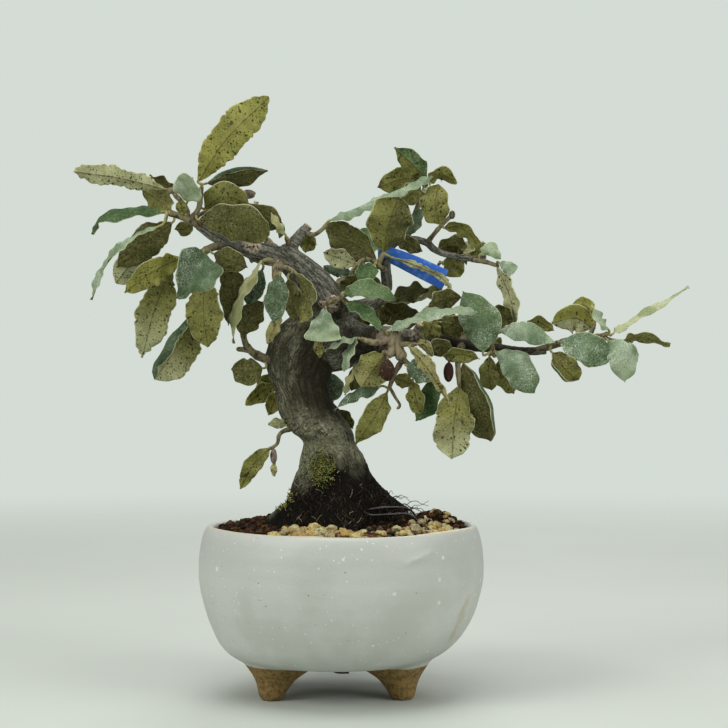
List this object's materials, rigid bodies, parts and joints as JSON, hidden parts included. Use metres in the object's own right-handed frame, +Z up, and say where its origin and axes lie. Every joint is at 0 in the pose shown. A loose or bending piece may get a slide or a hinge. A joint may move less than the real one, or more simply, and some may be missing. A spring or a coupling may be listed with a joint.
{
  "type": "silverberry bonsai in a footed pot",
  "caption": "Small potted evergreen tree with a thick leaning trunk and wavy-edged speckled leaves, in a round pale stoneware bowl on short feet.",
  "frame": {"origin": "middle of the whole plant's box in plan, on the surface that its feet stand on", "axes": "+Z up, the front of the tree faces -Y, the long branch reaches towards +X"},
  "size_m": [0.2362, 0.1214, 0.2316],
  "materials": {
    "stoneware": "satin glaze",
    "net_plastic": "matte",
    "black_wire": "black anodised",
    "soil": "rough granules",
    "gravel": "rough pebbles",
    "bark": "rough bark",
    "leaf": "leathery, scaly",
    "tag_plastic": "satin"
  },
  "bodies": {
    "root": {"pot": "stoneware", "drainage_mesh": "net_plastic", "anchor_wire": "black_wire", "soil": "soil", "gravel": "gravel", "trunk": "bark", "spray_top_left": "leaf", "spray_left_hanging": "leaf", "spray_limb_front": "leaf", "spray_trunk_left": "leaf", "spray_trunk_low": "leaf", "spray_trunk_behind_left": "leaf", "spray_trunk_behind_right": "leaf", "spray_fork": "leaf", "spray_knuckle": "leaf", "spray_centre": "leaf", "spray_pruned_stub": "leaf", "spray_stub_foot": "leaf", "spray_crown": "leaf", "spray_side_bud": "leaf", "spray_branch_back": "leaf", "spray_branch_end": "leaf", "spray_branch_middle": "leaf", "spray_right_low": "leaf", "spray_right_middle": "leaf", "spray_right_end": "leaf", "spray_behind_centre": "leaf", "spray_behind_left": "leaf", "spray_behind_right": "leaf", "spray_behind_middle": "leaf", "spray_behind_trunk": "leaf", "plant_tag": "tag_plastic"}
  },
  "joints": []
}
